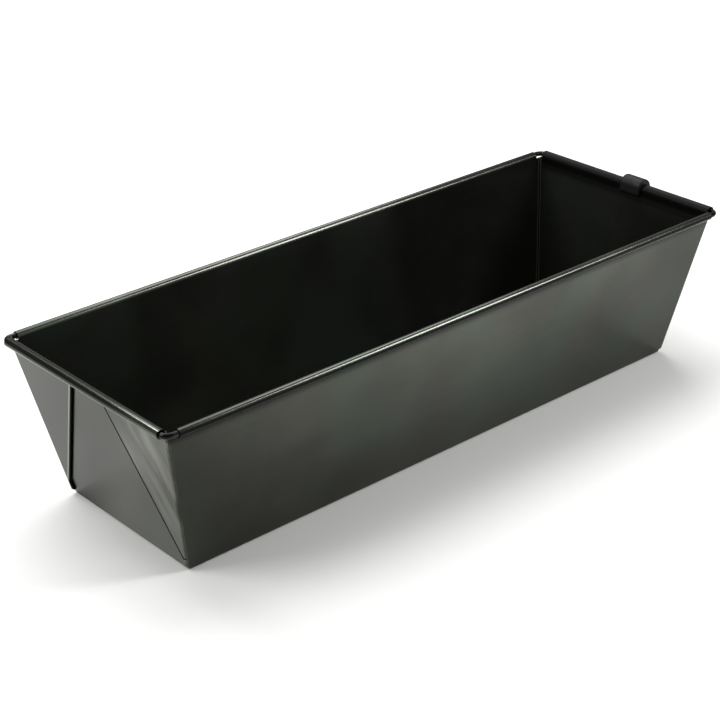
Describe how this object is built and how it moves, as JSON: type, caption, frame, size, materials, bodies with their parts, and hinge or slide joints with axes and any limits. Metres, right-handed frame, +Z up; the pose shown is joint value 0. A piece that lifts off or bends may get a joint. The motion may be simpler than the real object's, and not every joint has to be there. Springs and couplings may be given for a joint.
{
  "type": "loaf tin",
  "caption": "Long open loaf tin with flared walls, folded from one coated sheet, with a wire rolled into its rim and a small clip that slides along one end.",
  "frame": {"origin": "the middle of the underside of the base, on the surface that the tin stands on", "axes": "+X along the tin to the end that carries the clip, +Y to a long side, +Z up out of the mouth"},
  "size_m": [0.3022, 0.1098, 0.0722],
  "materials": {
    "coated_steel": "semi-gloss dark non-stick coat on thin steel sheet",
    "dark_wire": "polished dark steel wire",
    "clip_plastic": "moulded black heat-proof plastic"
  },
  "bodies": {
    "pan": {"pan_body": "coated_steel", "rim_wire": "dark_wire"},
    "clip": {"rim_clip": "clip_plastic"}
  },
  "joints": [
    {"name": "clip_slide", "type": "slide", "parent": "pan", "child": "clip", "axis": [0, 1, 0], "range_m": [-0.0366, 0.0492]}
  ]
}
